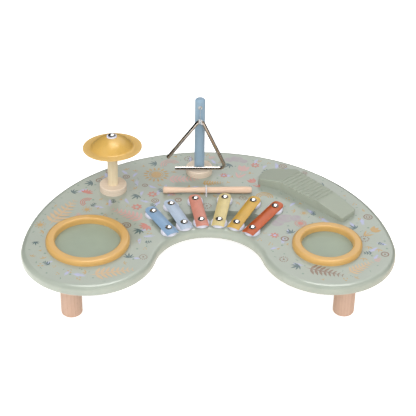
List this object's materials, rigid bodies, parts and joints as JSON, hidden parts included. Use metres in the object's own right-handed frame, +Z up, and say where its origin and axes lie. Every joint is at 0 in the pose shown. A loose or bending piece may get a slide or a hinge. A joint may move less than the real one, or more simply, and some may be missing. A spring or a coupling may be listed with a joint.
{
  "type": "musical activity table",
  "caption": "Low kidney-shaped wooden activity table with drums, a fan of note bars, a spinning cymbal, a hanging triangle, a ribbed scraper and a mallet under an elastic.",
  "frame": {"origin": "on the floor, under the middle of the board's bounding box", "axes": "X runs along the long side, left to right as the child sees it; Y runs from the child's bay to the round back edge; Z is up"},
  "size_m": [0.59, 0.3938, 0.2557],
  "materials": {
    "board_paint": "painted sage green, satin, with a printed pattern of small motifs",
    "leg_wood": "pale natural beech, clear matt varnish",
    "steel": "plain zinc-plated steel",
    "mustard_ring": "painted mustard, semi-gloss",
    "drum_skin": "thin taut sheet, sage grey-green, matt",
    "bar_blue": "powder-coated, satin",
    "bar_lavender": "powder-coated, satin",
    "bar_coral": "powder-coated, satin",
    "bar_cream": "powder-coated, satin",
    "bar_mustard": "powder-coated, satin",
    "bar_orange": "powder-coated, satin",
    "bar_pad": "soft translucent-white plastic cushion",
    "bright_screw": "polished dome head",
    "base_wood": "pale natural beech, clear matt varnish",
    "post_wood": "cream-tinted beech, matt",
    "post_blue": "painted dusty blue, matt",
    "felt": "off-white felt washer",
    "bush_plastic": "white plastic bush",
    "cymbal_paint": "mustard, satin",
    "cord": "thin twisted white cord",
    "triangle_chrome": "polished steel rod",
    "scraper_paint": "painted sage green, satin",
    "mallet_wood": "pale pinkish beech, matt",
    "elastic": "white braided elastic"
  },
  "bodies": {
    "root": {"table_top": "board_paint", "leg_front_left": "leg_wood", "leg_front_right": "leg_wood", "leg_rear_left": "leg_wood", "leg_rear_right": "leg_wood", "leg_bolts": "steel", "leg_inserts": "steel", "drum_ring_left": "mustard_ring", "drum_ring_right": "mustard_ring", "drum_skin_left": "drum_skin", "drum_skin_right": "drum_skin", "note_bar_blue": "bar_blue", "note_bar_lavender": "bar_lavender", "note_bar_coral": "bar_coral", "note_bar_cream": "bar_cream", "note_bar_mustard": "bar_mustard", "note_bar_orange": "bar_orange", "bar_pads": "bar_pad", "bar_screws": "bright_screw", "cymbal_base": "base_wood", "cymbal_post": "post_wood", "cymbal_felt": "felt", "cymbal_screw": "bright_screw", "triangle_base": "base_wood", "triangle_post": "post_blue", "cord_anchor": "cord", "post_screws": "steel", "scraper": "scraper_paint", "scraper_screws": "steel", "mallet_elastic": "elastic"},
    "cymbal_bush": {"cymbal_bush": "bush_plastic"},
    "cymbal": {"cymbal": "cymbal_paint"},
    "triangle_cord": {"triangle_cord": "cord"},
    "triangle": {"triangle": "triangle_chrome"},
    "mallet": {"mallet": "mallet_wood"}
  },
  "joints": [
    {"name": "cymbal_rock", "type": "hinge", "parent": "root", "child": "cymbal_bush", "pos_m": [-0.15559, 0.0727, 0.2142], "axis": [0.9135, 0.4067, 0], "range_deg": [0, 7]},
    {"name": "cymbal_spin", "type": "hinge", "parent": "cymbal_bush", "child": "cymbal", "pos_m": [-0.15559, 0.0727, 0.2142], "axis": [-0.0248, 0.0558, 0.9981], "continuous": true},
    {"name": "triangle_swing", "type": "hinge", "parent": "root", "child": "triangle_cord", "pos_m": [-0.01065, 0.11709, 0.24279], "axis": [1, 0, 0], "range_deg": [-50, 0]},
    {"name": "triangle_twist", "type": "hinge", "parent": "triangle_cord", "child": "triangle", "pos_m": [-0.01065, 0.11194, 0.22], "axis": [0, 0, 1], "range_deg": [-22, 22]},
    {"name": "mallet_slide", "type": "slide", "parent": "root", "child": "mallet", "axis": [1, 0, 0], "range_m": [-0.055, 0.01]}
  ]
}
